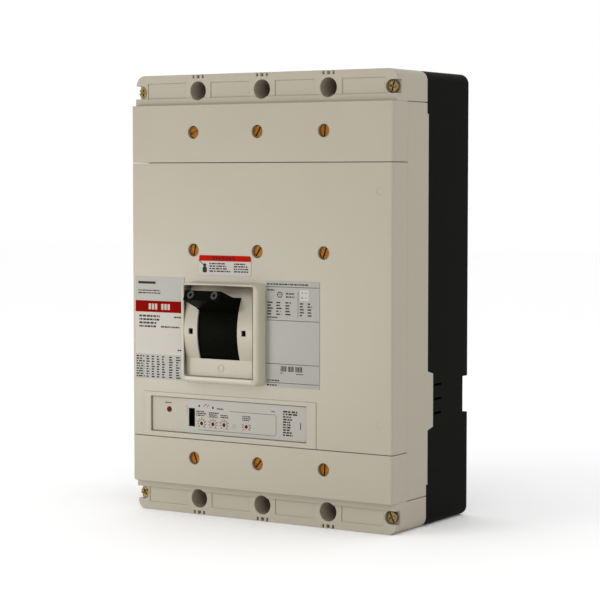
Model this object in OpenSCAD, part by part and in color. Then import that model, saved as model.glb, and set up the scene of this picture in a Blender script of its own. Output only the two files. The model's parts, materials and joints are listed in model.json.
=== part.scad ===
// Four-pole molded case circuit breaker with an electronic trip unit.
// Front is -Y, right is +X and up is +Z. The origin is the centre of the back mounting face.

/* [Case] */
// Width of the case across its four poles
body_w = 280; // [279:0.5:284]
// Height of the case from the load end to the line end
body_h = 406; // [405:0.5:409]
// Depth from the back face to the front panel
body_d = 139; // [139:0.5:141]
// Depth from the back face to the front of the end flanges
flange_d = 131; // [130.5:0.5:131.5]
// Depth from the back face to the deck under the front covers
deck_d = 113; // [112.5:0.5:113.5]
// Depth from the back face to the joint between base and cover
parting_d = 75.5; // [75:0.5:76]
// Corner radius of the case outline
corner_r = 9; // [6:0.5:9]
// Distance between pole centres
pole_pitch = 70; // [69.5:0.5:70]
// Width of the bay inside each pole
bay_w = 60; // [59:0.5:60]
// Wall thickness of the molded shells
wall = 6; // [5.5:0.5:6]

/* [Front covers] */
// Half height of the raised front panel
panel_half_h = 175; // [174.5:0.5:175]
// Height of the seam above the centre line
upper_seam_z = 122.3; // [121:0.1:123]
// Height of the seam below the centre line
lower_seam_z = -132; // [-132.5:0.1:-131.5]
// Width of the seam gaps
seam_gap = 0.6; // [0.4:0.1:0.8]
// Wall thickness of the front covers
cover_wall = 3.5; // [3:0.5:3.5]
// Radius of the upright front edges of the covers
cover_edge_r = 2; // [1:0.5:3]
// Radius of the recess around a cover screw
screw_recess_r = 5.9; // [5.5:0.1:6]
// Radius of a cover screw head
screw_head_r = 5.1; // [4.6:0.1:5.2]

/* [Mounting] */
// Distance of the mounting holes from the centre line
mount_z = 188; // [187:0.5:188]
// Radius of the mounting bolt holes
mount_hole_r = 4.2; // [3.5:0.1:4.5]
// Radius of the counterbore that takes a mounting bolt's head
mount_bore_r = 8.7; // [8:0.1:8.8]
// Depth from the back face to the seat of a mounting bolt's head
mount_seat_d = 30; // [25:1:35]

/* [Handle] */
// Depth of the handle pivot
handle_pivot_d = 81; // [81:1:81]
// Height of the handle pivot
handle_pivot_z = -31; // [-31:1:-31]
// Angle of the handle above level when the breaker is on
handle_on_angle = 20; // [20:1:20]
// Outer radius of the curved plate around the handle
drum_r = 70; // [70:0.5:70]
// Distance from the pivot to the end of the grip
grip_reach = 101; // [98:1:102]
// Width of the grip
grip_w = 39; // [36:1:40]
// Height of the escutcheon above the front panel
bezel_h = 12; // [11.5:0.5:12]

/* [Terminals] */
// Radius of the cable bore of a lug
cable_bore_r = 12; // [10:0.5:12]
// Width of a conductor bar
bar_w = 32; // [28:1:32]
// Thickness of a conductor bar
bar_t = 8; // [6:1:8]

/* [Hidden] */
$fn = 64;
small = 0.5;           // how far a cut runs past a face

// Derived sizes of the case
half_w = body_w / 2;
half_h = body_h / 2;
end_rise = 2.5;        // the base stands this much higher at its two ends
end_rise_z = 165;
bay_end = half_h - wall;
side_wall_x = half_w - 5;
poles = [for (i = [0:3]) (i - 1.5) * pole_pitch];
columns = [for (i = [-1:1]) i * pole_pitch];
handle_x = poles[1];
deck_t = 4;
boss_r = 11.5;
corner_screw_x = half_w - 6;
corner_screw_z = mount_z - 0.5;

// Rows of cover screws
row_upper = 150;
row_middle = 42.5;
row_lower = -149.5;
cover_screw_r = 2.5;
thread_clear = 0.05;

// The nameplates and the trip unit's window
plate_low = -78.3;
plate_high = 16.7;
plate_t = 0.4;
window_left = -119;
window_right = 52.5;
window_low = -127;
window_high = -94.3;

// The handle's escutcheon
bezel_w = 87;
bezel_low = -79;
bezel_high = 13.3;
pocket_w = 75;
pocket_low = -72;
pocket_high = 11;
drum_t = 1.5;
slot_w = 44.2;
plate_x = handle_x - 1;    // the slot and the flag windows sit slightly left of the handle
slot_low = -56;
slot_high = 0.6;
flag_x = 29;               // offset of the small flag windows from the slot's centre
flag_w = 4.8;
flag_h = 5.2;
lever_screw_x = 12.8;
lever_screw_t = 0.6;
shield_r = drum_r - drum_t - 0.4;
shield_t = 3;
shield_w = 50;
pivot_y = -handle_pivot_d;
pivot_z = handle_pivot_z;

// The operating mechanism, as depth and height in the plane of its pole
side_plate_in = 18.5;
side_plate_out = 20.5;
crossbar_y = -46;
crossbar_r = 15;
crossbar_clear = 0.05;
cradle_pin_at = [-92, 28];
upper_pin_at = [-104, -16];
link_angle = 13.52;
upper_link_l = 20.54;
knee_at = upper_pin_at + upper_link_l * [cos(link_angle), sin(link_angle)];
lower_pin_at = [-64, 2];
latch_pin_at = [-110, -72];
trip_bar_at = [-96, -84];
tie_rods_at = [[-30, 39], [-30, -58]];
knee_slack = 1.9;

// The conductors
bar_back = -14;
bar_front = bar_back - bar_t;
contact_t = 4;
lug_w = 36;
lug_d = 40;
lug_in = 148;
lug_out = 190;
lug_screw_z = 160;
lug_axis_y = bar_front - lug_d / 2;
conductor_screw_z = 178;
arm_t = 12;

// The trip unit
case_left = -118.5;
case_right = 52;
case_low = -128;
case_high = -90;
case_front = -137.6;
case_back = -88;
case_shell = 2.5;
case_inner = case_front + 3.6;
divider_x = -79;
face_t = 0.5;
dial_x = [-62, -49.4, -37.1, -12.6];
dial_z = -116.8;
dial_r = 2.6;
button_x = -99;
button_z = -106;
port_x = [-76.5, -69.6];
port_z = [-120.3, -103.3];
actuator_x = -88;
actuator_z = -112;

// Colours
ivory = [0.78, 0.75, 0.68];
coal = [0.09, 0.09, 0.08];
steel = [0.62, 0.62, 0.6];
brass = [0.72, 0.55, 0.28];
copper = [0.72, 0.43, 0.28];
silver = [0.8, 0.8, 0.78];
signal_red = [0.62, 0.1, 0.07];

// ---- Shared shapes ----

// A block between two opposite corners
module block(low, high) {
    translate(low) cube(high - low);
}

// A shape drawn in X and Z, extruded between two depths
module along_y(front, back) {
    translate([0, back, 0]) rotate([90, 0, 0]) linear_extrude(back - front) children();
}

// A shape drawn in depth and height, extruded between two X positions
module along_x(left, right) {
    translate([left, 0, 0]) rotate([90, 0, 90]) linear_extrude(right - left) children();
}

// A round bar along X
module bar_x(at, r, left, right) {
    translate([left, at[0], at[1]]) rotate([0, 90, 0]) cylinder(h = right - left, r = r);
}

// A round rod along Y
module rod_y(x, z, r, front, back) {
    translate([x, back, z]) rotate([90, 0, 0]) cylinder(h = back - front, r = r);
}

// A round rod along Z
module rod_z(x, y, r, low, high) {
    translate([x, y, low]) cylinder(h = high - low, r = r);
}

// A rectangle with four round corners
module round_rect(w, h, r) {
    square([w - 2 * r, h], center = true);
    square([w, h - 2 * r], center = true);
    for (x = [-1, 1], z = [-1, 1])
        translate([x * (w / 2 - r), z * (h / 2 - r)]) circle(r);
}

// The case outline between two depths
module case_outline(front, back) {
    along_y(front, back) round_rect(body_w, body_h, corner_r);
}

// Places its child in the handle's own frame, where -Y points along the lever
module in_handle_frame() {
    translate([handle_x, pivot_y, pivot_z]) rotate([-handle_on_angle, 0, 0]) children();
}

// A screw with a round slotted head, pointing into the case
module slotted_screw(x, z, head_front, head_r, head_h, shank_r, tip, slot_angle) {
    slot_t = 1.5;
    slot_d = 1.6;
    difference() {
        rod_y(x, z, head_r, head_front, head_front + head_h);
        translate([x, head_front, z]) rotate([0, slot_angle, 0])
            cube([3 * head_r, 2 * slot_d, slot_t], center = true);
    }
    rod_y(x, z, shank_r, head_front + head_h - 0.1, tip);
}

// The tab of the cover that reaches back into the base, in depth and height
module side_tab_outline() {
    tab_back = -parting_d + 10;
    polygon([
        [-parting_d - 5, -63.5], [-parting_d, -63.5], [tab_back, -66.2],
        [tab_back, -114], [-parting_d, -116.4], [-parting_d - 5, -116.4]
    ]);
}

// The counterbored mounting holes, for the base and the cover to share
module mounting_holes() {
    for (x = columns, s = [-1, 1]) {
        rod_y(x, s * mount_z, mount_bore_r, -body_d, -mount_seat_d);
        rod_y(x, s * mount_z, mount_hole_r, -mount_seat_d - small, small);
    }
}

// ---- Case ----

module base_housing() {
    window_w = 42;
    window_d = 48;
    vent_z = [-76.7, -89.5, -102.3];
    notch_z = -90;
    notch_h = 33.5;
    notch_d = 9;
    color(coal) difference() {
        union() {
            difference() {
                union() {
                    case_outline(-parting_d, 0);
                    intersection() {
                        case_outline(-parting_d - end_rise, -parting_d);
                        for (s = [-1, 1])
                            translate([0, -parting_d, s * half_h])
                                cube([2 * body_w, body_d, 2 * (half_h - end_rise_z)], center = true);
                    }
                }
                for (x = poles)
                    block([x - bay_w / 2, -body_d, -bay_end], [x + bay_w / 2, -wall, bay_end]);
            }
            // bosses around the mounting holes
            for (x = columns, s = [-1, 1])
                rod_y(x, s * mount_z, boss_r, -parting_d - end_rise, -small);
            // corner blocks for the cover's corner screws
            for (x = [-1, 1], s = [-1, 1])
                along_y(-parting_d - end_rise, -small) translate([x * (side_wall_x - 2), s * (bay_end - 7)])
                    square([10, 16], center = true);
            // pads that hold the conductor bars off the floor
            for (x = poles, z = [[52, 80], [124, 186], [-58, -36], [-186, -124]])
                block([x - 14, bar_back, z[0]], [x + 14, -wall + small, z[1]]);
            // solid corner behind each side notch
            for (s = [-1, 1])
                translate([s * side_wall_x, -notch_d, notch_z])
                    cube([2 * (half_w - side_wall_x), 2 * notch_d - 1, notch_h + 9], center = true);
        }
        mounting_holes();
        // corner screw holes
        for (x = [-1, 1], s = [-1, 1])
            rod_y(x * corner_screw_x, s * corner_screw_z, 2.2 + thread_clear, -parting_d - 5, -58);
        // cable windows through both ends
        for (x = poles, s = [-1, 1])
            translate([x, lug_axis_y, s * (half_h - wall / 2)])
                cube([window_w, window_d, wall + 2 * small], center = true);
        // slots in the barriers that carry the crossbar
        for (x = columns) {
            bar_x([crossbar_y, 0], crossbar_r + crossbar_clear, x - 6, x + 6);
            block([x - 6, -body_d, -crossbar_r - crossbar_clear],
                  [x + 6, crossbar_y, crossbar_r + crossbar_clear]);
        }
        // recesses for the conductor screws
        for (x = poles, s = [-1, 1]) {
            rod_y(x, s * conductor_screw_z, 8, -5, small);
            rod_y(x, s * conductor_screw_z, 3.1, bar_back - small, 0);
        }
        for (s = [-1, 1]) {
            // room for the cover's side tabs
            along_x(s > 0 ? side_wall_x : -half_w - 1, s > 0 ? half_w + 1 : -side_wall_x)
                side_tab_outline();
            // side notches at the back
            translate([s * half_w, 0, notch_z]) cube([14, 2 * notch_d, notch_h], center = true);
            // vents behind the tabs
            for (z = vent_z)
                translate([s * half_w, -56.7, z]) cube([14, 13.5, 2.2], center = true);
        }
    }
}

module main_cover() {
    strip_h = 6.5;
    strip_d = 1.3;
    recess_d = 0.6;
    recess_low = panel_half_h + strip_h;
    recess_high = half_h - 7.5;
    slot_marks = [[-5.2, 2], [0, 3.2], [5.2, 2]];
    flange_wall = 5;
    color(ivory) difference() {
        union() {
            difference() {
                union() {
                    case_outline(-flange_d, -parting_d);
                    // low strip beside the front panel
                    for (s = [-1, 1])
                        translate([0, -flange_d - strip_d / 2, s * (panel_half_h + strip_h / 2)])
                            cube([body_w, strip_d, strip_h], center = true);
                }
                // seat of the front covers
                block([-body_w, -body_d, -panel_half_h], [body_w, -deck_d, panel_half_h]);
                // room for the base's higher ends
                for (s = [-1, 1])
                    translate([0, -parting_d, s * half_h])
                        cube([2 * body_w, 2 * end_rise, 2 * (half_h - end_rise_z)], center = true);
                // pole bays under the deck and under the end flanges
                for (x = poles) {
                    block([x - bay_w / 2, -deck_d + deck_t, -bay_end], [x + bay_w / 2, 0, bay_end]);
                    for (s = [-1, 1])
                        translate([x, -deck_d + deck_t, s * (bay_end + panel_half_h + 4) / 2])
                            cube([bay_w, 2 * (flange_d - deck_d - flange_wall + deck_t),
                                  bay_end - panel_half_h - 4], center = true);
                }
            }
            for (x = columns, s = [-1, 1])
                rod_y(x, s * mount_z, boss_r, -flange_d, -parting_d - end_rise);
            for (x = [-1, 1], s = [-1, 1])
                along_y(-flange_d + 1, -parting_d - end_rise)
                    translate([x * (side_wall_x - 2), s * (bay_end - 7)]) square([10, 16], center = true);
            for (s = [-1, 1])
                along_x(s > 0 ? side_wall_x : -half_w, s > 0 ? half_w : -side_wall_x) side_tab_outline();
        }
        mounting_holes();
        // shallow recesses between the mounting bosses
        for (x = poles, s = [-1, 1]) {
            left = x < -pole_pitch ? -half_w + 13 : x - pole_pitch / 2 + 14;
            right = x > pole_pitch ? half_w - 13 : x + pole_pitch / 2 - 14;
            translate([0, 0, s > 0 ? 0 : -recess_low - recess_high])
                block([left, -flange_d - small, recess_low], [right, -flange_d + recess_d, recess_high]);
        }
        // three small hook slots at the outer edge beside each mounting hole
        for (x = columns, s = [-1, 1], m = slot_marks)
            translate([x + m[0], -flange_d, s * (half_h - 1.5)]) cube([m[1], 9, 4], center = true);
        // pockets and holes of the corner screws
        for (x = [-1, 1], s = [-1, 1]) {
            rod_y(x * corner_screw_x, s * corner_screw_z, 6, -body_d, -flange_d + 6.5);
            translate([x * (corner_screw_x + 6), -flange_d, s * corner_screw_z])
                cube([12, 13, 12], center = true);
            rod_y(x * corner_screw_x, s * corner_screw_z, 2.4, -flange_d, 0);
        }
        // slits in the sides, level with the ends of the front panel
        for (x = [-1, 1], s = [-1, 1])
            translate([x * half_w, -(deck_d + parting_d) / 2 - 0.5, s * panel_half_h])
                cube([2.4, deck_d - parting_d + 1, 0.8], center = true);
        // opening for the operating mechanism
        block([handle_x - 28, -body_d, -92], [handle_x + 28, -deck_d + deck_t + small, 38]);
        // opening for the trip unit, through deck and barriers
        block([case_left - 1.5, -body_d, case_low - 0.2], [case_right + 1.5, case_back + 3, case_high + 1]);
        // openings over the lugs
        for (x = poles, z = [[127, 170], [-170, -137]])
            block([x - 27, -body_d, z[0]], [x + 27, -deck_d + deck_t + small, z[1]]);
        // threaded holes of the cover screws
        for (x = columns, z = [row_upper, row_middle, row_lower])
            rod_y(x, z, cover_screw_r + thread_clear, -body_d, -94);
        // bearing holes of the trip bar
        bar_x(trip_bar_at, 3.55, -76, -64);
        // slots that let arc gas out at the line end
        for (x = poles, y = [-84, -92, -100])
            translate([x, y, half_h - wall / 2]) cube([40, 3, wall + 2 * small], center = true);
    }
}

// The outside of a front cover, with its two upright front edges rounded
module cover_block(low, high) {
    translate([0, 0, low]) linear_extrude(high - low) {
        translate([-half_w, -body_d + cover_edge_r]) square([body_w, body_d - deck_d - cover_edge_r]);
        translate([-half_w + cover_edge_r, -body_d]) square([body_w - 2 * cover_edge_r, body_d - deck_d]);
        for (s = [-1, 1])
            translate([s * (half_w - cover_edge_r), -body_d + cover_edge_r]) circle(cover_edge_r);
    }
}

// A front cover: an open-backed shell with a post behind each of its three screws
module front_cover(low, high, screw_z) {
    difference() {
        union() {
            difference() {
                cover_block(low, high);
                block([-half_w + cover_wall, -body_d + cover_wall, low + cover_wall],
                      [half_w - cover_wall, -deck_d + small, high - cover_wall]);
            }
            for (x = columns)
                rod_y(x, screw_z, 8, -body_d + 1, -deck_d);
        }
        for (x = columns) {
            rod_y(x, screw_z, 2.9, -body_d, -deck_d + small);
            rod_y(x, screw_z, screw_recess_r, -body_d - small, -body_d + 4.6);
        }
    }
}

module upper_front_cover() {
    color(ivory) front_cover(upper_seam_z + seam_gap / 2, panel_half_h, row_upper);
}

module accessory_cover() {
    frame_h = 0.5;
    mark_r = 3.2;
    color(ivory) difference() {
        union() {
            front_cover(lower_seam_z + seam_gap / 2, upper_seam_z - seam_gap / 2, row_middle);
            // low frame around the trip unit's window
            block([window_left - 8, -body_d - frame_h, lower_seam_z + seam_gap / 2],
                  [window_right + 10, -body_d, window_high + 4]);
        }
        block([window_left, -body_d - 2, window_low], [window_right, -body_d + 5, window_high]);
        // opening behind the escutcheon
        block([handle_x - 38.5, -body_d - 2, -74], [handle_x + 38.5, -body_d + 5, 12]);
        // shallow round marks of the mold
        for (z = [97, -106])
            rod_y(127, z, mark_r, -body_d - small, -body_d + 0.15);
    }
}

module lower_front_cover() {
    soft_r = 4;
    color(ivory) difference() {
        front_cover(-panel_half_h, lower_seam_z - seam_gap / 2, row_lower);
        // rounded lower left corner
        difference() {
            block([-half_w - 1, -body_d - 1, -panel_half_h - 1],
                  [-half_w + soft_r, -deck_d + 1, -panel_half_h + soft_r]);
            rod_y(-half_w + soft_r, -panel_half_h + soft_r, soft_r, -body_d - 2, -deck_d + 2);
        }
    }
}

module corner_screws() {
    head_front = -flange_d + 2.4;
    color(brass) for (x = [-1, 1], s = [-1, 1]) {
        slot_angle = 35 + 50 * x + 20 * s;
        difference() {
            slotted_screw(x * corner_screw_x, s * corner_screw_z, head_front, 4.8, 4.1, 2.2, -60, slot_angle);
            // short slot across the long one
            translate([x * corner_screw_x, head_front, s * corner_screw_z]) rotate([0, slot_angle + 90, 0])
                cube([6, 3.2, 1.5], center = true);
        }
    }
}

// Three screws in one row, each slot at its own angle
module cover_screw_row(z, angles) {
    color(brass) for (i = [0:2])
        slotted_screw(columns[i], z, -body_d + 2.2, screw_head_r, 2.4, cover_screw_r, -95, angles[i]);
}

module upper_cover_screws() {
    cover_screw_row(row_upper, [-20, -60, -85]);
}

module accessory_cover_screws() {
    cover_screw_row(row_middle, [-80, -55, -70]);
}

module lower_cover_screws() {
    cover_screw_row(row_lower, [70, -50, -88]);
}

module left_rating_plate() {
    color(silver) block([-136.4, -body_d - plate_t, plate_low], [-80, -body_d, plate_high]);
}

module right_rating_plate() {
    color(silver) block([9.6, -body_d - plate_t, plate_low], [66.1, -body_d, plate_high]);
}

module handle_label() {
    color(silver) along_y(-body_d - plate_t, -body_d) translate([handle_x, 29.1])
        round_rect(57, 18, 1.8);
}

// ---- Handle ----

module handle_escutcheon() {
    mid_z = (bezel_low + bezel_high) / 2;
    pocket_mid = (pocket_low + pocket_high) / 2;
    pocket_h = pocket_high - pocket_low;
    front = -body_d - bezel_h;
    lower_y = -146.4;
    skirt_y = -136;
    color(ivory) difference() {
        union() {
            // raised frame
            difference() {
                along_y(front, -body_d) translate([handle_x, mid_z])
                    round_rect(bezel_w, bezel_high - bezel_low, 6);
                along_y(front - 1, -body_d + 1) translate([handle_x, pocket_mid])
                    square([pocket_w, pocket_h], center = true);
            }
            // skirt that reaches through the cover
            along_y(-body_d - 1, skirt_y) translate([handle_x, pocket_mid]) difference() {
                square([pocket_w + 1.6, pocket_h + 1.6], center = true);
                square([pocket_w, pocket_h], center = true);
            }
            // curved plate that the lever passes through
            intersection() {
                difference() {
                    bar_x([pivot_y, pivot_z], drum_r, handle_x - pocket_w / 2, handle_x + pocket_w / 2);
                    bar_x([pivot_y, pivot_z], drum_r - drum_t, handle_x - body_w, handle_x + body_w);
                }
                block([handle_x - 50, front - 5, slot_low - 0.1], [handle_x + 50, -130, pocket_high]);
            }
            // flat plate below the curved one
            block([handle_x - pocket_w / 2, lower_y, pocket_low],
                  [handle_x + pocket_w / 2, lower_y + drum_t, slot_low]);
            // raised ring, the off mark
            difference() {
                rod_y(handle_x, -64, 3.6, lower_y - 0.5, lower_y + 1);
                rod_y(handle_x, -64, 2.7, lower_y - 1, lower_y + 2);
            }
        }
        block([plate_x - slot_w / 2, -200, slot_low], [plate_x + slot_w / 2, -120, slot_high]);
        // flag windows on both sides of the lever
        for (s = [-1, 1])
            block([plate_x + s * flag_x - flag_w / 2, -200, pivot_z - flag_h / 2],
                  [plate_x + s * flag_x + flag_w / 2, -120, pivot_z + flag_h / 2]);
    }
}

module handle_lever() {
    root_r = 62;
    lever_w = slot_w - 2.8;
    sweep = 200;
    shield_up = 44;
    shield_down = 41.5;
    color(coal) in_handle_frame() difference() {
        union() {
            // lever from the yoke out to the grip
            along_x(-grip_w / 2, grip_w / 2) polygon([
                [-root_r, -5.6], [-root_r, 9], [-69.4, 8.2], [-78.5, 5.2],
                [-grip_reach, 4.6], [-grip_reach, -4.6]
            ]);
            along_x(-lever_w / 2, lever_w / 2) polygon([
                [-root_r, -5.8], [-root_r, 9], [-69.4, 8.2], [-76, 6], [-76, -5.6]
            ]);
            // curved shield that closes the slot
            difference() {
                bar_x([0, 0], shield_r, -shield_w / 2, shield_w / 2);
                bar_x([0, 0], shield_r - shield_t, -shield_w, shield_w);
                along_x(-shield_w, shield_w) polygon([
                    [0, 0], [-sweep * cos(shield_up), sweep * sin(shield_up)],
                    [-sweep * cos(shield_up), sweep], [sweep, sweep], [sweep, -sweep],
                    [-sweep * cos(shield_down), -sweep],
                    [-sweep * cos(shield_down), -sweep * sin(shield_down)]
                ]);
            }
        }
        for (x = [-1, 1]) {
            rod_y(x * lever_screw_x, lever_screw_t, 2.2, -grip_reach - 1, -root_r + 1);
            rod_y(x * lever_screw_x, lever_screw_t, 3.8, -grip_reach - 1, -grip_reach + 5);
        }
    }
}

module handle_screws() {
    color(coal) in_handle_frame() for (x = [-1, 1]) difference() {
        union() {
            rod_y(x * lever_screw_x, lever_screw_t, 3.7, -grip_reach + 0.4, -grip_reach + 5);
            rod_y(x * lever_screw_x, lever_screw_t, 2, -grip_reach + 1, -58.5);
        }
        rod_y(x * lever_screw_x, lever_screw_t, 1.7, -grip_reach - 1, -grip_reach + 3, $fn = 6);
    }
}

module handle_yoke() {
    arm_in = 21.5;
    arm_out = 23.5;
    plate_in = 59;
    plate_out = 62;
    color(steel) in_handle_frame() difference() {
        union() {
            block([-arm_out, -plate_out, -9], [arm_out, -plate_in, 9]);
            for (s = [-1, 1]) {
                left = s > 0 ? arm_in : -arm_out;
                bar_x([0, 0], 9, left, left + arm_out - arm_in);
                block([left, -plate_in - 0.1, -7], [left + arm_out - arm_in, 0, 7]);
            }
        }
        bar_x([0, 0], 4 + thread_clear, -30, 30);
        for (x = [-1, 1])
            rod_y(x * lever_screw_x, lever_screw_t, 2 + thread_clear, -plate_out - 1, -plate_in + 1);
    }
}

module handle_pivot_studs() {
    color(steel) for (s = [-1, 1]) {
        shank = s > 0 ? handle_x + side_plate_out : handle_x - 24;
        head = s > 0 ? handle_x + 23.8 : handle_x - 25.3;
        bar_x([pivot_y, pivot_z], 4, shank, shank + 24 - side_plate_out);
        bar_x([pivot_y, pivot_z], 6.5, head, head + 1.5);
    }
}

// ---- Operating mechanism ----

module mechanism_side_plates() {
    color(steel) for (s = [-1, 1]) {
        left = handle_x + (s > 0 ? side_plate_in : -side_plate_out);
        right = left + side_plate_out - side_plate_in;
        difference() {
            along_x(left, right) polygon([
                [-wall, -66], [-wall, -34], [-22, -28], [-22, 28], [-wall, 34], [-wall, 45], [-70, 45],
                [-100, 34], [-104, 20], [-104, -50], [-118, -66], [-118, -80], [-100, -80], [-80, -66]
            ]);
            bar_x([crossbar_y, 0], crossbar_r + 0.8, left - 1, right + 1);
            block([left - 1, crossbar_y, -crossbar_r - 0.8], [right + 1, 0, crossbar_r + 0.8]);
            bar_x(cradle_pin_at, 4, left - 1, right + 1);
            bar_x(latch_pin_at, 2.5, left - 1, right + 1);
            for (at = tie_rods_at)
                bar_x(at, 3, left - 1, right + 1);
        }
    }
}

module mechanism_tie_rods() {
    color(steel) for (at = tie_rods_at)
        bar_x(at, 3, handle_x - side_plate_out, handle_x + side_plate_out);
}

module cradle() {
    half_t = 2.5;
    color(steel) difference() {
        union() {
            bar_x(cradle_pin_at, 8, handle_x - half_t, handle_x + half_t);
            along_x(handle_x - half_t, handle_x + half_t) polygon([
                [-84, 28], [-97, -16], [-92, -66], [-104, -66], [-107, -40], [-111, -16], [-100, 28]
            ]);
        }
        bar_x(cradle_pin_at, 4.05, handle_x - 9, handle_x + 9);
        bar_x(upper_pin_at, 3, handle_x - 9, handle_x + 9);
    }
}

module cradle_pivot_pin() {
    color(steel) bar_x(cradle_pin_at, 4, handle_x - side_plate_out, handle_x + side_plate_out);
}

module upper_link_pin() {
    color(steel) bar_x(upper_pin_at, 3, handle_x - 6.5, handle_x + 6.5);
}

// A flat link with two round ends and a hole in each
module link(from, to, from_r, to_r, from_hole, to_hole, left, right) {
    direction = (to - from) / norm(to - from);
    across = [-direction[1], direction[0]] * min(from_r, to_r) * 0.8;
    difference() {
        union() {
            bar_x(from, from_r, left, right);
            bar_x(to, to_r, left, right);
            along_x(left, right) polygon([from + across, from - across, to - across, to + across]);
        }
        bar_x(from, from_hole, left - 1, right + 1);
        bar_x(to, to_hole, left - 1, right + 1);
    }
}

module upper_links() {
    color(steel) for (s = [-1, 1]) {
        left = handle_x + (s > 0 ? 3 : -5.5);
        link(upper_pin_at, knee_at, 6, 5.5, 3.05, 2.5, left, left + 2.5);
    }
}

module knee_pin() {
    color(steel) bar_x(knee_at, 2.5, handle_x - 17.5, handle_x + 17.5);
}

module lower_links() {
    color(steel) for (s = [-1, 1]) {
        left = handle_x + (s > 0 ? 8 : -10.5);
        link(lower_pin_at, knee_at, 6.4, 7.4, 3.05, 2.5 + knee_slack, left, left + 2.5);
    }
}

module lower_link_pin() {
    color(steel) bar_x(lower_pin_at, 3, handle_x - 14, handle_x + 14);
}

module mechanism_springs() {
    turns = 26;
    start = knee_at[0] - 2.8;
    length = 47;
    pitch = length / turns;
    color(steel) for (s = [-1, 1])
        translate([handle_x + s * 14.5, start, knee_at[1]]) rotate([90, 0, 0]) rotate_extrude()
            polygon(concat(
                [[1.6, 0]],
                [for (i = [0:turns - 1]) each [[2.4, i * pitch], [3, (i + 0.5) * pitch]]],
                [[2.4, length], [1.6, length]]
            ));
}

module latch() {
    half_t = 3;
    color(steel) difference() {
        along_x(handle_x - half_t, handle_x + half_t) polygon([
            [-105.5, -58], [-104.4, -67], [-104.4, -73.5], [-86, -74.5], [-86, -77.7], [-114, -77.7],
            [-116, -72], [-110, -58]
        ]);
        bar_x(latch_pin_at, 2.55, handle_x - 9, handle_x + 9);
    }
}

module latch_pin() {
    color(steel) bar_x(latch_pin_at, 2.5, handle_x - side_plate_out, handle_x + side_plate_out);
}

module trip_bar() {
    paddle_y = -100;
    color(coal) {
        bar_x(trip_bar_at, 3.5, -110, handle_x + 8);
        // paddle behind the trip button and the actuator
        block([-104, paddle_y - 6, -114.5], [-83, paddle_y - 2.5, trip_bar_at[1]]);
        block([-104, paddle_y - 6, trip_bar_at[1] - 3], [-83, trip_bar_at[0], trip_bar_at[1] + 3]);
        // paddle under the latch's tail
        block([handle_x - 5, trip_bar_at[0] - 2, trip_bar_at[1]],
              [handle_x + 5, trip_bar_at[0] + 10, trip_bar_at[1] + 6]);
    }
}

// ---- Contacts ----

module crossbar() {
    lug_in_x = 11;
    lug_out_x = 14;
    color(coal) difference() {
        union() {
            bar_x([crossbar_y, 0], crossbar_r, -134, 134);
            // ears that hold the lower link pin
            for (s = [-1, 1]) {
                left = handle_x + (s > 0 ? lug_in_x : -lug_out_x);
                along_x(left, left + lug_out_x - lug_in_x) polygon([
                    [-70, -3], [-70, 7], [-50, 12], [-50, -12]
                ]);
            }
        }
        // channels that hold the contact arms
        for (x = poles)
            block([x - arm_t / 2 - 0.3, -90, -20], [x + arm_t / 2 + 0.3, crossbar_y, 20]);
        for (x = poles)
            bar_x([crossbar_y - 6, 0], 2.5, x - 10, x + 10);
        // room for the ends of the lower links
        for (s = [-1, 1])
            bar_x(lower_pin_at, 7.2, handle_x + (s > 0 ? 6 : -lug_in_x), handle_x + (s > 0 ? lug_in_x : -6));
        bar_x(lower_pin_at, 3, handle_x - 15, handle_x + 15);
    }
}

module contact_arms() {
    tip_back = bar_front - 2 * contact_t;
    color(copper) for (x = poles) difference() {
        along_x(x - arm_t / 2, x + arm_t / 2) polygon([
            [crossbar_y, -20], [crossbar_y, 30], [tip_back, 56], [tip_back, 78],
            [tip_back - 10, 78], [crossbar_y - 11, 34], [crossbar_y - 11, -20]
        ]);
        bar_x([crossbar_y - 6, 0], 2.5, x - 10, x + 10);
    }
}

module contact_arm_pins() {
    color(steel) for (x = poles)
        bar_x([crossbar_y - 6, 0], 2.5, x - 10, x + 10);
}

// One contact pad per pole, between two depths
module contact_pads(front) {
    color(silver) for (x = poles)
        block([x - 8, front, 60], [x + 8, front + contact_t, 76]);
}

module moving_contacts() {
    contact_pads(bar_front - 2 * contact_t);
}

module fixed_contacts() {
    contact_pads(bar_front - contact_t);
}

// One flat bar per pole between two heights, with the conductor screw's hole
module conductor_bars(low, high, screw_z) {
    color(copper) for (x = poles) difference() {
        block([x - bar_w / 2, bar_front, low], [x + bar_w / 2, bar_back, high]);
        rod_y(x, screw_z, 3 + thread_clear, bar_front - 1, bar_back + 1);
    }
}

module line_conductors() {
    conductor_bars(54, lug_out, conductor_screw_z);
}

module load_conductors() {
    conductor_bars(-lug_out, -36, -conductor_screw_z);
}

module flexible_shunts() {
    color(copper) for (x = poles, i = [0:2])
        along_x(x - 9, x + 9) polygon([
            [-50 + 4 * i, -25 - 2 * i], [-47.5 + 4 * i, -25 - 2 * i], [-43 + 4 * i, -38 - 2 * i],
            [bar_front, -45.5 - 4 * i], [bar_front, -48.5 - 4 * i], [-46 + 4 * i, -40 - 2 * i]
        ]);
}

module conductor_screws() {
    color(steel) for (x = poles, s = [-1, 1]) {
        rod_y(x, s * conductor_screw_z, 6.5, -4.9, -1, $fn = 6);
        rod_y(x, s * conductor_screw_z, 3, -28, -4.8);
    }
}

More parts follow.
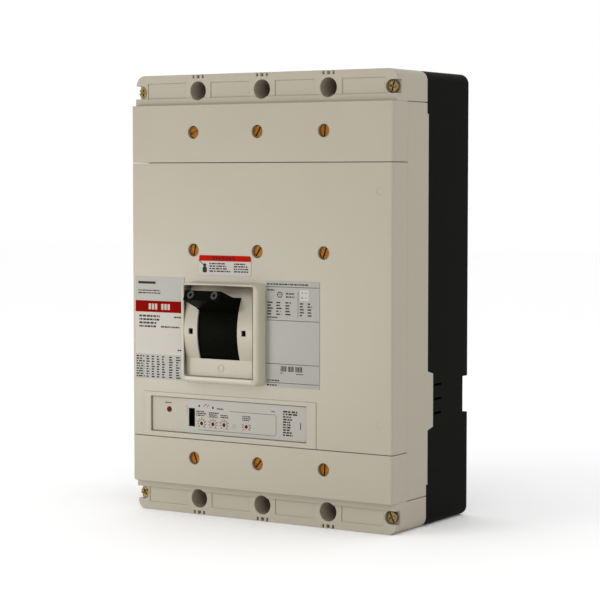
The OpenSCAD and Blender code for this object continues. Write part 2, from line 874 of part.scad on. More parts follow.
// One box lug per pole, its cable bore along Z and its set screw at the front
module lugs(s) {
    color(silver) for (x = poles) difference() {
        translate([x, lug_axis_y, s * (lug_in + lug_out) / 2])
            cube([lug_w, lug_d, lug_out - lug_in], center = true);
        rod_z(x, lug_axis_y, cable_bore_r, -half_h, half_h);
        rod_y(x, s * lug_screw_z, 7 + thread_clear, bar_front - lug_d - 1, lug_axis_y);
        rod_y(x, s * conductor_screw_z, 3 + thread_clear, lug_axis_y, bar_front + 1);
    }
}

module line_lugs() {
    lugs(1);
}

module load_lugs() {
    lugs(-1);
}

module lug_set_screws(s) {
    tip = lug_axis_y - cable_bore_r - 0.5;
    head = tip - 16;
    color(steel) for (x = poles) difference() {
        rod_y(x, s * lug_screw_z, 7, head, tip);
        rod_y(x, s * lug_screw_z, 3.6, head - 1, head + 6, $fn = 6);
    }
}

module line_lug_set_screws() {
    lug_set_screws(1);
}

module load_lug_set_screws() {
    lug_set_screws(-1);
}

module arc_chute_plates() {
    plate_count = 7;
    color(steel) for (x = poles, i = [0:plate_count - 1])
        along_y(-32 - 8 * i, -30.4 - 8 * i) translate([x, 0])
            polygon([[-23, 84], [-9, 84], [-3, 100], [3, 100], [9, 84], [23, 84], [23, 118], [-23, 118]]);
}

module arc_chute_sides() {
    color([0.45, 0.28, 0.2]) for (x = poles, s = [-1, 1])
        block([x + (s > 0 ? 23 : -25), -84, 82], [x + (s > 0 ? 25 : -23), -26, 120]);
}

module current_transformers() {
    color(coal) for (x = poles) difference() {
        translate([x, -wall - 19, -88]) cube([48, 38, 32], center = true);
        translate([x, (bar_front + bar_back) / 2, -88]) cube([bar_w + 3, bar_t + 4, 40], center = true);
    }
}

// ---- Trip unit ----

module trip_unit_case() {
    seat_y = -120.3;
    color(ivory) difference() {
        union() {
            difference() {
                union() {
                    block([case_left, -135.3, case_low], [case_right, case_back, case_high]);
                    block([window_left + 0.6, case_front, window_low + 0.6],
                          [window_right - 0.6, -135, window_high - 0.6]);
                }
                // compartment of the button and the actuator, open at the back and the top
                block([case_left + case_shell, case_inner, case_low + case_shell],
                      [divider_x - case_shell, 0, 0]);
                // compartment of the circuit board, open at the back
                block([divider_x, case_inner, case_low + case_shell],
                      [case_right - case_shell, 0, case_high - case_shell]);
            }
            // seat of the button's spring
            block([case_left + 1, seat_y, button_z - 5], [button_x + 4.4, seat_y + 2, button_z + 5]);
        }
        rod_y(button_x, button_z, 1.85, seat_y - 1, seat_y + 3);
        rod_y(button_x, button_z, 2.65, -body_d - 5, -130);
        for (x = dial_x)
            rod_y(x, dial_z, 1.55, -body_d - 5, -130);
        block([port_x[0], -body_d - 5, port_z[0]], [port_x[1], -130, port_z[1]]);
    }
}

module trip_circuit_board() {
    board_y = -117.4;
    color([0.1, 0.3, 0.16]) {
        block([divider_x, board_y - 1.6, case_low + case_shell],
              [case_right - case_shell, board_y, case_high - case_shell]);
        // measuring chip and power capacitor
        block([-30, board_y - 4, -108], [-10, board_y - 1.5, -98]);
        rod_y(20, -110, 7, board_y - 13, board_y - 1.5);
    }
}

module trip_faceplate() {
    color(silver) difference() {
        block([-78.2, case_front - face_t, window_low + 0.6],
              [window_right - 0.6, case_front, window_high - 0.6]);
        for (x = dial_x)
            rod_y(x, dial_z, dial_r + 0.3, -body_d - 5, -130);
        block([port_x[0], -body_d - 5, port_z[0]], [port_x[1], -130, port_z[1]]);
    }
}

module test_port() {
    color(coal) difference() {
        block([port_x[0], case_front - face_t, port_z[0]], [port_x[1], -125, port_z[1]]);
        block([port_x[0] + 1, case_front - face_t - 1, port_z[0] + 1],
              [port_x[1] - 1, -132, port_z[1] - 1]);
    }
}

// A setting dial: a slotted cap on a thin shaft
module dial(i) {
    cap_front = case_front - face_t - 0.3;
    color(signal_red) difference() {
        union() {
            rod_y(dial_x[i], dial_z, dial_r, cap_front, case_front - 0.1);
            rod_y(dial_x[i], dial_z, 1.5, case_front - 0.2, -121);
        }
        translate([dial_x[i], cap_front, dial_z])
            cube([0.9, 0.9, 2 * dial_r - 1], center = true);
    }
}

module dial_1() {
    dial(0);
}

module dial_2() {
    dial(1);
}

module dial_3() {
    dial(2);
}

module dial_4() {
    dial(3);
}

module trip_button() {
    color(signal_red) {
        rod_y(button_x, button_z, 2.6, case_front - 0.4, -133);
        rod_y(button_x, button_z, 4, -133.5, -132);
        rod_y(button_x, button_z, 1.8, -132.1, -106.3);
    }
}

module trip_button_spring() {
    turns = 6;
    length = 11.6;
    pitch = length / turns;
    color(steel) translate([button_x, -120.3, button_z]) rotate([90, 0, 0]) rotate_extrude()
        polygon(concat(
            [[2.1, 0]],
            [for (i = [0:turns - 1]) each [[2.7, i * pitch], [3.2, (i + 0.5) * pitch]]],
            [[2.7, length], [2.1, length]]
        ));
}

module trip_actuator() {
    color(steel) difference() {
        rod_y(actuator_x, actuator_z, 6, case_inner, -116);
        rod_y(actuator_x, actuator_z, 2.05, -126, -115);
    }
}

module trip_actuator_plunger() {
    color(steel) rod_y(actuator_x, actuator_z, 2, -125.5, -109.3);
}

// ---- Assembly ----

base_housing();
main_cover();
upper_front_cover();
accessory_cover();
lower_front_cover();
corner_screws();
upper_cover_screws();
accessory_cover_screws();
lower_cover_screws();
left_rating_plate();
right_rating_plate();
handle_label();
handle_escutcheon();
handle_lever();
handle_screws();
handle_yoke();
handle_pivot_studs();
mechanism_side_plates();
mechanism_tie_rods();
cradle();
cradle_pivot_pin();
upper_link_pin();
upper_links();
knee_pin();
lower_links();
lower_link_pin();
mechanism_springs();
latch();
latch_pin();
trip_bar();
crossbar();
contact_arms();
contact_arm_pins();
moving_contacts();
fixed_contacts();
line_conductors();
load_conductors();
flexible_shunts();
conductor_screws();
line_lugs();
load_lugs();
line_lug_set_screws();
load_lug_set_screws();
arc_chute_plates();
arc_chute_sides();
current_transformers();
trip_unit_case();
trip_circuit_board();
trip_faceplate();
test_port();
dial_1();
dial_2();
dial_3();
dial_4();
trip_button();
trip_button_spring();
trip_actuator();
trip_actuator_plunger();
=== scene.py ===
import json
import math
import random
import bmesh
import bpy
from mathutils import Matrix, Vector


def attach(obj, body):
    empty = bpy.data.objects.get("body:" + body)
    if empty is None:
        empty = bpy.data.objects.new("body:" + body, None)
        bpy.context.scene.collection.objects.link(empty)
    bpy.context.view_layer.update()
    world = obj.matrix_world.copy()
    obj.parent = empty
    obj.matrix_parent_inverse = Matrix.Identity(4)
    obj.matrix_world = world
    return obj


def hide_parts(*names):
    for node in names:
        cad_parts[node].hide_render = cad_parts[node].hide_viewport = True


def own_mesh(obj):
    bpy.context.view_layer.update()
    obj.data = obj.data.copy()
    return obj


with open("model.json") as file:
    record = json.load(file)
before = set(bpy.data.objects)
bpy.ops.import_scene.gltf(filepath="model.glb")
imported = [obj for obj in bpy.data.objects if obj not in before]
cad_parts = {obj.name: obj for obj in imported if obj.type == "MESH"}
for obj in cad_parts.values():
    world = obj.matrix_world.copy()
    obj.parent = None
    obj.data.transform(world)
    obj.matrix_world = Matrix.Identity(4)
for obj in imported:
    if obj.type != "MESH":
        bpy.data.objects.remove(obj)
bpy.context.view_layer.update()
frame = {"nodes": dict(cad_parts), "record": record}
NODES = frame["nodes"]
MM = 0.001


# ---- Materials ----

GLOSS_SPREAD = 0.06    # how far the roughness wanders to either side
DUST_FADE = 0.04       # how softly a speck of dust ends
GRAIN_DEPTH = 0.0004   # height in m of the fine grain


def lin(r, g, b):
    """An everyday 0-255 colour as the linear colour that shaders take."""
    def one(c):
        c = c / 255
        return c / 12.92 if c <= 0.04045 else ((c + 0.055) / 1.055) ** 2.4
    return (one(r), one(g), one(b), 1.0)


def material(name, color, rough, metal=0.0, specular=0.5, tint=0.06, tint_scale=14, grain=0.0,
             grain_scale=900, stretch=(1, 1, 1), edge=0, dust=None):
    """A solid surface with uneven colour and gloss.

    tint is how far the colour wanders, grain is how strong the fine bumps are, and edge is the
    width in mm of soft edges made by shading. dust is the specks' (colour, scale, level from
    which a speck shows, cover).
    """
    m = bpy.data.materials.new(name)
    m.use_nodes = True
    n, link = m.node_tree.nodes, m.node_tree.links
    shader = n["Principled BSDF"]
    shader.inputs["Metallic"].default_value = metal
    shader.inputs["Specular IOR Level"].default_value = specular
    place = n.new("ShaderNodeTexCoord")
    mapping = n.new("ShaderNodeMapping")
    mapping.inputs["Scale"].default_value = stretch
    link.new(place.outputs["Object"], mapping.inputs["Vector"])

    def noise(scale, detail):
        t = n.new("ShaderNodeTexNoise")
        t.inputs["Scale"].default_value = scale
        t.inputs["Detail"].default_value = detail
        link.new(mapping.outputs["Vector"], t.inputs["Vector"])
        return t

    broad = noise(tint_scale, 5)
    ramp = n.new("ShaderNodeMix")
    ramp.data_type = "RGBA"
    ramp.inputs["A"].default_value = tuple(c * (1 - tint) for c in color[:3]) + (1,)
    ramp.inputs["B"].default_value = tuple(min(1, c * (1 + tint)) for c in color[:3]) + (1,)
    link.new(broad.outputs["Fac"], ramp.inputs["Factor"])
    out = ramp.outputs["Result"]
    if dust:
        speck_color, speck_scale, level, cover = dust
        specks = noise(speck_scale, 3)
        cut = n.new("ShaderNodeMapRange")
        cut.inputs["From Min"].default_value = level
        cut.inputs["From Max"].default_value = level + DUST_FADE
        cut.inputs["To Max"].default_value = cover
        link.new(specks.outputs["Fac"], cut.inputs["Value"])
        over = n.new("ShaderNodeMix")
        over.data_type = "RGBA"
        over.inputs["B"].default_value = speck_color
        link.new(cut.outputs["Result"], over.inputs["Factor"])
        link.new(out, over.inputs["A"])
        out = over.outputs["Result"]
    link.new(out, shader.inputs["Base Color"])
    gloss = n.new("ShaderNodeMapRange")
    gloss.inputs["To Min"].default_value = max(0.02, rough - GLOSS_SPREAD)
    gloss.inputs["To Max"].default_value = min(1, rough + GLOSS_SPREAD)
    link.new(broad.outputs["Fac"], gloss.inputs["Value"])
    link.new(gloss.outputs["Result"], shader.inputs["Roughness"])
    normal = None
    if edge:
        soft = n.new("ShaderNodeBevel")
        soft.samples = 4
        soft.inputs["Radius"].default_value = edge * MM
        normal = soft.outputs["Normal"]
        link.new(normal, shader.inputs["Normal"])
    if grain:
        fine = noise(grain_scale, 2)
        bump = n.new("ShaderNodeBump")
        bump.inputs["Strength"].default_value = grain
        bump.inputs["Distance"].default_value = GRAIN_DEPTH
        link.new(fine.outputs["Fac"], bump.inputs["Height"])
        if normal:
            link.new(normal, bump.inputs["Normal"])
        link.new(bump.outputs["Normal"], shader.inputs["Normal"])
    return m


BROWN_DUST = lin(110, 98, 80)

M = {
    # molded shells
    "shell": material("molded shell", lin(154, 147, 130), 0.42, tint=0.03, grain=0.10,
                      grain_scale=700, edge=0.9, dust=(BROWN_DUST, 900, 0.745, 0.35)),
    "shell_front": material("molded covers", lin(153, 146, 129), 0.36, tint=0.025, grain=0.10,
                            grain_scale=700, edge=0.9, dust=(BROWN_DUST, 700, 0.745, 0.3)),
    # the escutcheon frame's colour is partly painted light: it is a shade lighter than its own
    # plate, the same molding, so the frame's sides and front look lit; the plate keeps the
    # molding's plain tone
    "bezel": material("molded escutcheon painted lighter", lin(178, 171, 154), 0.36, tint=0.02, grain=0.06),
    "bezel_plate": material("molded escutcheon painted lighter plate", lin(160, 153, 136), 0.4, tint=0.02,
                            grain=0.06),
    "trip_case": material("molded trip unit", lin(154, 148, 132), 0.45, tint=0.03, grain=0.08),
    "base": material("black phenolic", lin(10, 11, 6), 0.5, specular=0.018, tint=0.25, grain=0.25,
                     grain_scale=420, edge=0.9, dust=(lin(120, 118, 112), 600, 0.7, 0.14)),
    "handle": material("black handle", lin(7, 7, 4), 0.42, specular=0.012, tint=0.2, grain=0.12,
                       grain_scale=500, dust=(lin(110, 108, 104), 500, 0.72, 0.14)),

    # metals
    "dark_screw": material("black screw", lin(46, 44, 43), 0.4, metal=0.6, grain=0.1),
    "brass": material("brass screw", lin(122, 78, 30), 0.38, metal=1.0, tint=0.85, tint_scale=650,
                      grain=1.0, grain_scale=1100),
    "pale_brass": material("pale brass screw", lin(118, 100, 64), 0.35, metal=1.0, tint=0.8,
                           tint_scale=650, grain=1.0, grain_scale=1100),
    "steel": material("plated steel", lin(170, 170, 166), 0.36, metal=1.0, tint=0.1, grain=0.1,
                      stretch=(1, 1, 9)),
    "spring": material("spring wire", lin(150, 150, 148), 0.3, metal=1.0, tint=0.1, grain=0.1),
    "copper": material("copper", lin(196, 122, 84), 0.33, metal=1.0, tint=0.15, tint_scale=60,
                       grain=0.12),
    "contact": material("silver contact", lin(205, 205, 200), 0.3, metal=1.0, grain=0.1),
    "lug": material("tin-plated lug", lin(190, 190, 186), 0.38, metal=1.0, tint=0.1,
                    tint_scale=80, grain=0.2),

    # films and inks
    "plate": material("label film", lin(131, 129, 118), 0.34, tint=0.015, grain=0.02),
    "face": material("faceplate film", lin(144, 140, 129), 0.34, tint=0.015, grain=0.02),
    "label": material("label white", lin(167, 162, 152), 0.4, specular=0.3, tint=0.02),
    "red": material("plate red", lin(118, 8, 2), 0.5, specular=0.01, tint=0.03),
    "label_red": material("label red", lin(160, 20, 4), 0.5, specular=0.01, tint=0.03),
    "dark_red": material("dark red ink", lin(92, 12, 8), 0.45, specular=0.05, tint=0.05),
    "ink": material("label ink", lin(34, 32, 30), 0.5, specular=0.1, tint=0.05),
    "grey_ink": material("label grey ink", lin(104, 101, 95), 0.5, tint=0.05),
    "outline_ink": material("label outline ink", lin(66, 64, 60), 0.5, specular=0.2, tint=0.05),
    "white_ink": material("label white ink", lin(160, 146, 136), 0.45, tint=0.02),

    # small parts and the floor
    "button": material("red button", lin(84, 14, 10), 0.35, specular=0.08, tint=0.05),
    "dial": material("setting dial", lin(186, 180, 168), 0.35, tint=0.04),
    "port": material("test port", lin(9, 9, 7), 0.4, specular=0.05, grain=0.1),
    "board": material("circuit board", lin(26, 92, 52), 0.35, tint=0.15, tint_scale=60),
    "fibre": material("vulcanised fibre", lin(126, 66, 44), 0.6, tint=0.15, tint_scale=80,
                      grain=0.2),
    "floor": material("pale floor", lin(254, 254, 254), 0.7, specular=0.1, tint=0.005),
}

# a node takes the material named like its slot, apart from these slots and these nodes
SLOT_LOOK = {"brass_screw": "brass"}
NODE_LOOK = {
    "upper_front_cover": "shell_front", "accessory_cover": "shell_front",
    "lower_front_cover": "shell_front", "handle_escutcheon": "bezel",
    "trip_unit_case": "trip_case", "trip_faceplate": "face", "corner_screws": "pale_brass",
}
SLOTS = {s["node"]: s["material_slot"] for s in frame["record"]["subparts"]}
for node, obj in NODES.items():
    slot = SLOTS[node]
    obj.data.materials.clear()
    obj.data.materials.append(M[NODE_LOOK.get(node, SLOT_LOOK.get(slot, slot))])


# ---- Making pieces ----

def add_piece(name, mesh, look, body="breaker_case"):
    """A mesh as a piece with a material, riding a body."""
    mesh.materials.clear()
    mesh.materials.append(M[look])
    obj = bpy.data.objects.new(name, mesh)
    bpy.context.collection.objects.link(obj)
    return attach(obj, body)


def soften(obj, width):
    """Rounds the sharp edges of a piece by a width in mm."""
    weld = obj.modifiers.new("join", "WELD")
    weld.merge_threshold = 0.02 * MM
    flat = obj.modifiers.new("flat faces", "DECIMATE")
    flat.decimate_type = "DISSOLVE"
    flat.angle_limit = math.radians(1)
    bevel = obj.modifiers.new("soft edge", "BEVEL")
    bevel.width = width * MM
    bevel.segments = 3
    bevel.limit_method = "ANGLE"
    bevel.angle_limit = math.radians(35)
    bevel.use_clamp_overlap = True


def inside_box(node, low, high):
    """The part of a CAD node's shape inside a box in mm, as a mesh of its own."""
    bpy.ops.mesh.primitive_cube_add(size=1)
    box = bpy.context.object
    box.scale = (Vector(high) - Vector(low)) * MM
    box.location = (Vector(high) + Vector(low)) * MM / 2
    copy = bpy.data.objects.new("copy", NODES[node].data.copy())
    bpy.context.collection.objects.link(copy)
    cut = copy.modifiers.new("cut", "BOOLEAN")
    cut.operation = "INTERSECT"
    cut.object = box
    bpy.context.view_layer.update()
    depsgraph = bpy.context.evaluated_depsgraph_get()
    mesh = bpy.data.meshes.new_from_object(copy.evaluated_get(depsgraph))
    for o in (copy, box):
        bpy.data.objects.remove(o)
    return mesh


def ring_mesh(name, rings):
    """A skin over rounded rectangles in mm, open at both ends.

    Each ring is (left, right, low, high, corner radius, depth).
    """
    corner_steps = 8
    bm = bmesh.new()
    loops = []
    for left, right, low, high, radius, depth in rings:
        loop = []
        for cx, cz, start in ((right - radius, high - radius, 0),
                              (left + radius, high - radius, 90),
                              (left + radius, low + radius, 180),
                              (right - radius, low + radius, 270)):
            for k in range(corner_steps + 1):
                a = math.radians(start + 90 * k / corner_steps)
                x, z = cx + radius * math.cos(a), cz + radius * math.sin(a)
                loop.append(bm.verts.new(Vector((x, depth, z)) * MM))
        loops.append(loop)
    for a, b in zip(loops, loops[1:]):
        for k in range(len(a)):
            n = (k + 1) % len(a)
            bm.faces.new((a[k], a[n], b[n], b[k]))
    bmesh.ops.recalc_face_normals(bm, faces=bm.faces)
    for f in bm.faces:
        f.smooth = True
    mesh = bpy.data.meshes.new(name)
    bm.to_mesh(mesh)
    bm.free()
    return mesh


def prints(name, shapes, back, look, thick=0.06, body="breaker_case"):
    """Flat shapes, each a list of (x, z) in mm, standing on the depth back, as one piece."""
    bm = bmesh.new()
    for shape in shapes:
        front = [bm.verts.new(Vector((x, back - thick, z)) * MM) for x, z in shape]
        rear = [bm.verts.new(Vector((x, back, z)) * MM) for x, z in shape]
        bm.faces.new(front)
        bm.faces.new(rear[::-1])
        for k in range(len(shape)):
            n = (k + 1) % len(shape)
            bm.faces.new((front[k], rear[k], rear[n], front[n]))
    bmesh.ops.recalc_face_normals(bm, faces=bm.faces)
    mesh = bpy.data.meshes.new(name)
    bm.to_mesh(mesh)
    bm.free()
    return add_piece(name, mesh, look, body)


# ---- The escutcheon, the handle and the trip button's spring ----

def grown(box, sides, below, above):
    """A box (left, right, low, high) made larger, or smaller where an amount is negative."""
    left, right, low, high = box
    return left - sides, right + sides, low - below, high + above


# the escutcheon's frame, in mm: its wall leans in from the foot, then turns over a large soft
# edge to the crest, and over a small lip down into the pocket
OUTER = (-78.5, 8.5, -79, 13.3)
POCKET = (-72.5, 2.5, -72, 11)
FOOT, CREST, BEHIND_PLATE = -139, -151, -133
LEAN, LEAN_ABOVE = 0.8, 0.3
EDGE, EDGE_ABOVE, EDGE_DEPTH = 3.8, 0.8, 5.5
OUTER_RADIUS, CREST_RADIUS = 6.5, 4.1
LIP, LIP_BELOW, LIP_ABOVE, LIP_DEPTH = 1.3, 2.0, 0.6, 1.4
POCKET_RADIUS, LIP_RADIUS = 1.0, 2.2
STEPS = 6
QUARTER = [math.radians(90 * k / STEPS) for k in range(STEPS + 1)]

rings = [(*OUTER, OUTER_RADIUS, FOOT)]
for a in QUARTER:
    f = 1 - math.cos(a)
    side, above = LEAN + EDGE * f, LEAN_ABOVE + EDGE_ABOVE * f
    rings.append((*grown(OUTER, -side, -side, -above),
                  OUTER_RADIUS + (CREST_RADIUS - OUTER_RADIUS) * f,
                  CREST + EDGE_DEPTH * (1 - math.sin(a))))
for a in QUARTER:
    f = 1 - math.sin(a)
    rings.append((*grown(POCKET, LIP * f, LIP_BELOW * f, LIP_ABOVE * f),
                  POCKET_RADIUS + (LIP_RADIUS - POCKET_RADIUS) * f,
                  CREST + LIP_DEPTH * (1 - math.cos(a))))
rings.append((*POCKET, POCKET_RADIUS, FOOT))
# the frame takes the escutcheon colour with painted light in it, lighter than the plate
bezel = add_piece("escutcheon_frame", ring_mesh("escutcheon_frame", rings), "bezel")
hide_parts("handle_escutcheon")

# the escutcheon's plate keeps the CAD shape
add_piece("escutcheon_plate",
          inside_box("handle_escutcheon", (POCKET[0], CREST, POCKET[2]),
                     (POCKET[1], BEHIND_PLATE, POCKET[3])),
          "bezel_plate")

soften(NODES["handle_lever"], 0.9)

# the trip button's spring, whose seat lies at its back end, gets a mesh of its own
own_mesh(NODES["trip_button_spring"])


# ---- Outlines of printed shapes, as lists of (x, z) in mm ----

def rect(left, right, low, high):
    return [(left, low), (right, low), (right, high), (left, high)]


def disc(x, z, r):
    steps = 24
    return [(x + r * math.cos(math.tau * k / steps), z + r * math.sin(math.tau * k / steps))
            for k in range(steps)]


def arc(x, z, r, start):
    """A quarter circle, from a start angle in degrees."""
    steps = 6
    angles = [math.radians(start + 90 * k / steps) for k in range(steps + 1)]
    return [(x + r * math.cos(a), z + r * math.sin(a)) for a in angles]


def rounded(left, right, low, high, r, bottom=True):
    """A rectangle with round upper corners and, unless bottom is off, round lower ones."""
    top = arc(right - r, high - r, r, 0) + arc(left + r, high - r, r, 90)
    if bottom:
        return top + arc(left + r, low + r, r, 180) + arc(right - r, low + r, r, 270)
    return top + [(left, low), (right, low)]


def tick(x, z, near, far, width, degrees):
    """A short bar that points away from a centre, turned clockwise from upright."""
    c, s = math.cos(math.radians(degrees)), math.sin(math.radians(degrees))
    return [(x + u * s + v * c, z + u * c - v * s)
            for u, v in ((near, -width / 2), (far, -width / 2),
                         (far, width / 2), (near, width / 2))]


def words(left, right, top, rows, height, gap, seed, word, fill=1.0):
    """Rows of short bars that stand for print, each row broken into words.

    word is the usual width of a word, and fill is how much of the width a row takes.
    """
    rng = random.Random(seed)
    out = []
    for row in range(rows):
        x = left
        end = left + (right - left) * min(1, fill * rng.uniform(0.75, 1.12))
        z = top - row * (height + gap)
        while x < end - 0.4:
            w = rng.uniform(0.4, 1.5) * word
            out.append(rect(x, min(x + w, end), z - height, z))
            x += w + 0.4 * word * rng.uniform(0.5, 1.0)
    return out


def figures(left, right, top, rows, columns, height, pitch, seed):
    """A table of short bars in columns."""
    out = []
    step = (right - left) / columns
    for c in range(columns):
        start = left + c * step
        out += words(start, start + 0.7 * step, top, rows, height, pitch - height, seed + c,
                     0.6 * step, 0.8)
    return out


# ---- Print on the labels and on the trip unit ----

# depths in mm of the faces that carry print
PLATE = -139.4
ON_PLATE = PLATE - 0.06
TRIP_CASE, TRIP_BUTTON, TRIP_FACE, DIAL = -137.6, -138.0, -138.1, -138.4
DIAL_CAP = 0.08

# left rating plate: heading, red band, ratings, a clear field and a table
LEFT, RIGHT = -136.3, -80.1
prints("left_plate_field", [rect(LEFT, RIGHT, -55.2, -16.1)], PLATE, "label")
prints("left_plate_band", [rect(LEFT, RIGHT, -16.1, -5.5)], PLATE, "red")
prints("left_plate_band_print",
       [rect(-121 + 3.6 * k, -118.4 + 3.6 * k, -13.6, -8.2) for k in (0, 1, 2, 4, 5, 6)],
       ON_PLATE, "white_ink")
prints("left_plate_heading",
       [rect(-133, -113, 10.2, 12.4)] + words(-133, -104, 4.6, 2, 1.1, 1.3, 7, 3.0),
       PLATE, "ink")
prints("left_plate_print",
       words(-132, -108, -19.0, 4, 1.7, 1.5, 5, 2.6)
       + words(-92, -82, -19.5, 1, 1.4, 2.0, 6, 2.2)
       + words(-107, -82, -28.8, 1, 1.4, 2.0, 8, 2.6)
       + words(-88, -81, -50.0, 1, 1.3, 2.0, 9, 2.2),
       ON_PLATE, "ink")
prints("left_plate_table",
       words(-135.5, -126, -57.0, 9, 1.2, 1.15, 10, 3.4)
       + figures(-124, -100, -57.0, 9, 4, 1.2, 2.35, 60)
       + figures(-98, -82, -57.0, 9, 2, 1.2, 2.35, 70),
       PLATE, "ink")

# right rating plate: rules, print, columns, a ticked ring, a white sticker and a bar code
prints("right_plate_rules",
       [rect(10, 65.8, z, z + 0.45) for z in (11.2, -18.8, -57.8, -74.8)]
       + [rect(43.5, 43.9, -15.5, 7.5)],
       PLATE, "ink")
prints("right_plate_print",
       words(11, 58, 14.4, 1, 1.2, 1, 11, 2.4)
       + words(11, 20, 9.0, 1, 1.1, 2.1, 13, 2.2)
       + words(31, 40, 6.2, 2, 1.3, 1.6, 12, 2.0)
       + words(11, 24, -15.4, 1, 1.1, 1, 16, 2.2)
       + words(10.5, 24, -72.0, 1, 1.2, 5.2, 15, 2.0)
       + words(10.5, 22, -76.2, 1, 1.2, 5.2, 17, 2.0)
       + words(25, 28, -65.2, 1, 0.8, 1, 18, 2.0)
       + words(42, 49, -65.6, 1, 0.8, 1, 19, 2.0),
       PLATE, "ink")
prints("right_plate_columns",
       figures(11, 40, -2.0, 5, 3, 1.2, 2.6, 20) + figures(45.5, 62, -2.4, 5, 2, 1.2, 2.6, 30),
       PLATE, "ink")
prints("right_plate_ring",
       [tick(24.5, 4.4, 2.0, 2.7, 0.72, 10 * k) for k in range(36)]
       + [rect(23.4, 25.6, 4.1, 4.7)],
       PLATE, "ink")
prints("right_plate_sticker", [rounded(45.9, 54.9, -0.4, 9.4, 0.8)], PLATE, "label")
prints("right_plate_sticker_print",
       [disc(48.2, 6.6, 0.8), rect(47.2, 49, 1.5, 3.0), rect(50.6, 53.4, 6.3, 6.9),
        rect(50.6, 53.0, 2.0, 2.6)],
       ON_PLATE, "grey_ink")
bars = []
for i in range(22):
    group_gap = 1.2 * ((i > 6) + (i > 13))
    x = 25.3 + 0.95 * i + group_gap
    bars.append(rect(x, x + 0.35 + 0.2 * (i * 7 % 3), -64.2, -59.4))
prints("right_plate_bar_code", bars, PLATE, "ink")

# label over the handle: a red band with a heading, two blocks of print and a small figure
prints("handle_label_band", [rounded(-63.5, -6.5, 32.9, 38.1, 1.8, bottom=False)],
       PLATE, "label_red")
prints("handle_label_heading",
       [rect(-49 + 3.7 * k, -49 + 3.7 * k + 2.9, 34.3, 36.7) for k in range(7)],
       ON_PLATE, "dark_red")
prints("handle_label_print",
       words(-52, -29, 31.2, 4, 1.2, 1.1, 31, 3.0)
       + words(-25, -9.5, 31.2, 4, 1.2, 1.1, 32, 2.6)
       + [disc(-57.2, 29.0, 1.7), rounded(-59.6, -54.9, 22.4, 27.4, 1.1),
          tick(-58, 29, 0, 7.5, 0.7, -52)],
       PLATE, "ink")

# trip unit: outlines, print, the button's ring and a spare light
prints("trip_face_outline",
       [rect(-31, 16.6, -104.2, -103.8), rect(19.3, 19.7, -120.4, -106.4),
        rect(-66, 16.6, -123.2, -122.8),
        tick(16.8, -106.6, 2.4, 2.8, 3.9, 45), tick(16.8, -120.2, 2.4, 2.8, 3.9, 135)],
       TRIP_FACE, "outline_ink")
prints("trip_face_print",
       words(27, 43.5, -99.6, 2, 1.5, 0.8, 40, 3.4)
       + words(27, 37, -104.4, 8, 1.4, 0.95, 44, 2.6)
       + [rect(45.2, 46.0, -115.5, -109.5)]
       + words(-45, -37, -101.9, 1, 1.1, 1, 41, 1.6)
       + words(14, 18, -100.6, 1, 0.9, 1, 42, 1.6)
       + [disc(-64.8, -100.9, 1.0), disc(-49.6, -101.8, 1.1),
          tick(-60, -101.5, 0, 3.2, 0.5, 40), tick(-56, -101.5, 0, 3.2, 0.5, 40),
          rect(-58.4, -56.2, -99.6, -99.0)]
       + words(-68, -57, -105.4, 3, 1.1, 0.7, 45, 1.8)
       + words(-54, -43, -106.0, 3, 1.1, 0.7, 46, 1.6)
       + words(-41, -32, -107.6, 2, 1.1, 0.7, 47, 1.6)
       + words(-17, -8, -107.0, 3, 1.0, 0.7, 48, 1.6),
       TRIP_FACE, "ink")
prints("trip_case_print",
       words(-103.5, -94.5, -99.4, 1, 1.0, 1, 43, 2.0)
       + [rect(-79.0, -78.6, -101.6 - 1.4 * k, -100.8 - 1.4 * k) for k in range(7)],
       TRIP_CASE, "ink")
prints("trip_button_ring", [disc(-99, -106, 1.5)], TRIP_BUTTON, "dark_red",
       body="trip_button_body")
prints("spare_light", [tick(-25.8, -117.4, 1.5, 1.8, 0.5, 15 * k) for k in range(24)],
       TRIP_FACE, "grey_ink")

# setting dials: marks around each dial, and a cap with a slot on it
DIALS, DIAL_Z = (-62, -49.4, -37.1, -12.6), -116.8
FULL_SWEEP = [-135 + 34 * k for k in range(9)]
SPLIT_SWEEP = [-130, -100, -70, 70, 100, 130]
for i, x in enumerate(DIALS):
    dial, body = f"dial_{i + 1}", f"dial_{i + 1}_body"
    sweep = FULL_SWEEP if i < 3 else SPLIT_SWEEP
    prints(f"{dial}_marks", [tick(x, DIAL_Z, 3.1, 5.3, 0.62, a) for a in sweep[::2]],
           TRIP_FACE, "ink")
    prints(f"{dial}_red_marks", [tick(x, DIAL_Z, 3.1, 5.0, 0.62, a) for a in sweep[1::2]],
           TRIP_FACE, "red")
    prints(f"{dial}_cap", [disc(x, DIAL_Z, 1.9)], DIAL, "dark_red", DIAL_CAP, body)
    prints(f"{dial}_slot", [rect(x - 0.35, x + 0.35, DIAL_Z - 1.6, DIAL_Z + 1.6)],
           DIAL - DIAL_CAP, "ink", 0.04, body)


# ---- Floor, light and camera ----

FLOOR = -0.203         # the case stands on its load end
AIM = (0, -0.07, 0)    # the middle of the case, half way to its front

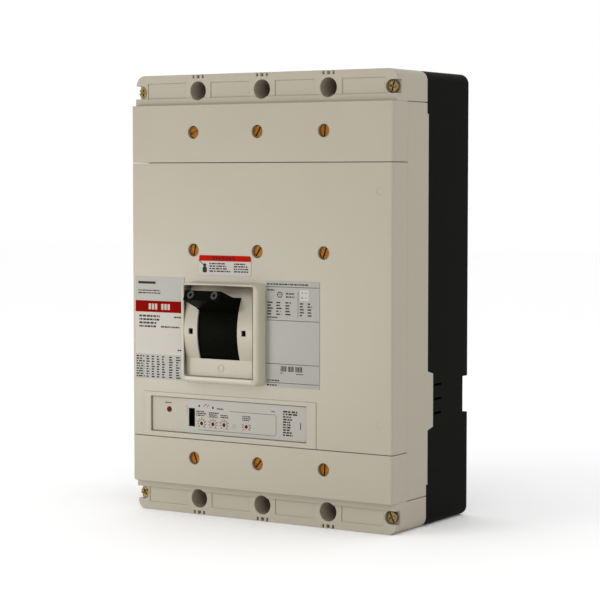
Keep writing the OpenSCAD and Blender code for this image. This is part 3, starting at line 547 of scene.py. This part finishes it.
bpy.ops.mesh.primitive_plane_add(size=12, location=(0, 0, FLOOR))
floor = bpy.context.object
floor.name = "floor"
floor.data.materials.append(M["floor"])

world = bpy.data.worlds.new("studio")
bpy.context.scene.world = world
world.use_nodes = True
world.node_tree.nodes["Background"].inputs["Color"].default_value = (1, 1, 1, 1)
world.node_tree.nodes["Background"].inputs["Strength"].default_value = 1.0


def lamp(name, at, size, power, aim=AIM):
    """A rectangular lamp, with its place and size in m and its power in W."""
    data = bpy.data.lights.new(name, "AREA")
    data.shape = "RECTANGLE"
    data.size, data.size_y = size
    data.energy = power
    obj = bpy.data.objects.new(name, data)
    obj.location = at
    obj.rotation_euler = (Vector(aim) - Vector(at)).to_track_quat("-Z", "Y").to_euler()
    bpy.context.collection.objects.link(obj)


lamp("key", (-0.9, -1.6, 1.2), (0.7, 0.7), 5)
lamp("fill", (1.25, -1.55, 0.45), (0.35, 0.35), 3)
lamp("low", (-0.7, -0.95, -0.1), (0.45, 0.16), 2.5, (-0.1, -0.14, -0.17))

# the camera stands off the middle of the case, shifted a little aside and down
AZIMUTH, ELEVATION = math.radians(32.35), math.radians(3.53)
MIDDLE, DISTANCE, ASIDE, ABOVE = Vector((0, -0.07, 0.0002)), 1.85198, 0.00152, -0.00488
FOCAL_LENGTH, SENSOR_WIDTH = 119.69, 36
back = Vector((math.sin(AZIMUTH) * math.cos(ELEVATION), -math.cos(AZIMUTH) * math.cos(ELEVATION),
               math.sin(ELEVATION)))
right = Vector((math.cos(AZIMUTH), math.sin(AZIMUTH), 0))
up = back.cross(right)
bpy.context.scene.view_settings.view_transform = "Standard"
camera_data = bpy.data.cameras.new("camera")
camera_data.lens = FOCAL_LENGTH
camera_data.sensor_width = SENSOR_WIDTH
camera = bpy.data.objects.new("camera", camera_data)
camera.location = MIDDLE + back * DISTANCE + right * ASIDE + up * ABOVE
camera.rotation_euler = (-back).to_track_quat("-Z", "Y").to_euler()
bpy.context.collection.objects.link(camera)
bpy.context.scene.camera = camera
